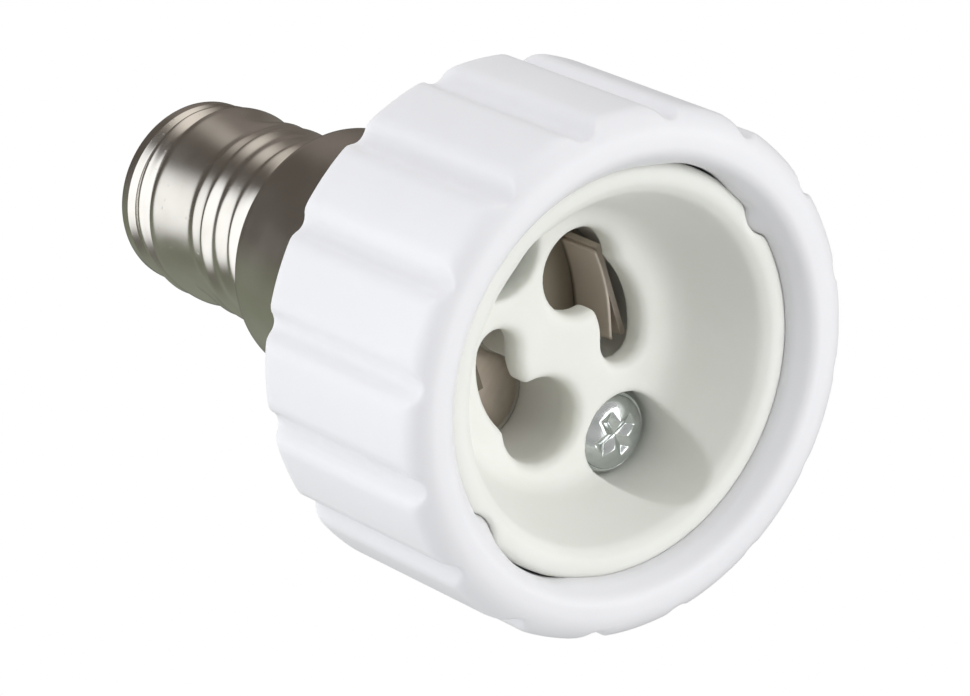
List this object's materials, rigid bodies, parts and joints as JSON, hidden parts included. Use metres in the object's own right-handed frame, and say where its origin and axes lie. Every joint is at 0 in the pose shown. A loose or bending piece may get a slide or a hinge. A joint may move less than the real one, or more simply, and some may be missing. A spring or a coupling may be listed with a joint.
{
  "type": "lamp socket adapter",
  "caption": "White fluted lamp socket adapter: a small screw base at one end, a ceramic two-pin twist socket at the other.",
  "frame": {"origin": "centre of the socket's front ring, on the plane of the ring's front face", "axes": "+Z runs along the axis from the two-pin socket to the screw base; +X points towards the picture camera's side"},
  "size_m": [0.035, 0.035, 0.0536],
  "materials": {
    "housing_plastic": "moulded white thermoplastic with a fine satin face",
    "insert_ceramic": "unglazed cream-white steatite, smooth and dull",
    "disc_board": "pressed insulating board, dull grey-beige",
    "contact_steel": "rolled strip, dull brown-grey",
    "shell_nickel": "nickel-plated brass, warm grey and fairly bright",
    "plug_plastic": "moulded white plastic",
    "rivet_nickel": "nickel-plated brass rivet",
    "solder": "soft solder, dull silver",
    "core_copper": "tinned copper wire",
    "sleeve_brown": "brown insulating sleeve",
    "sleeve_blue": "blue insulating sleeve",
    "screw_zinc": "bright zinc-plated steel"
  },
  "bodies": {
    "root": {"outer_housing": "housing_plastic", "ceramic_insert": "insert_ceramic", "rear_disc": "disc_board", "live_contact": "contact_steel", "neutral_contact": "contact_steel", "screw_shell": "shell_nickel", "base_insulator": "plug_plastic", "centre_contact": "rivet_nickel", "centre_solder": "solder", "live_core": "core_copper", "live_sleeve": "sleeve_brown", "neutral_core": "core_copper", "neutral_sleeve": "sleeve_blue", "insert_screws": "screw_zinc", "contact_solder": "solder", "shell_solder": "solder"}
  },
  "joints": []
}
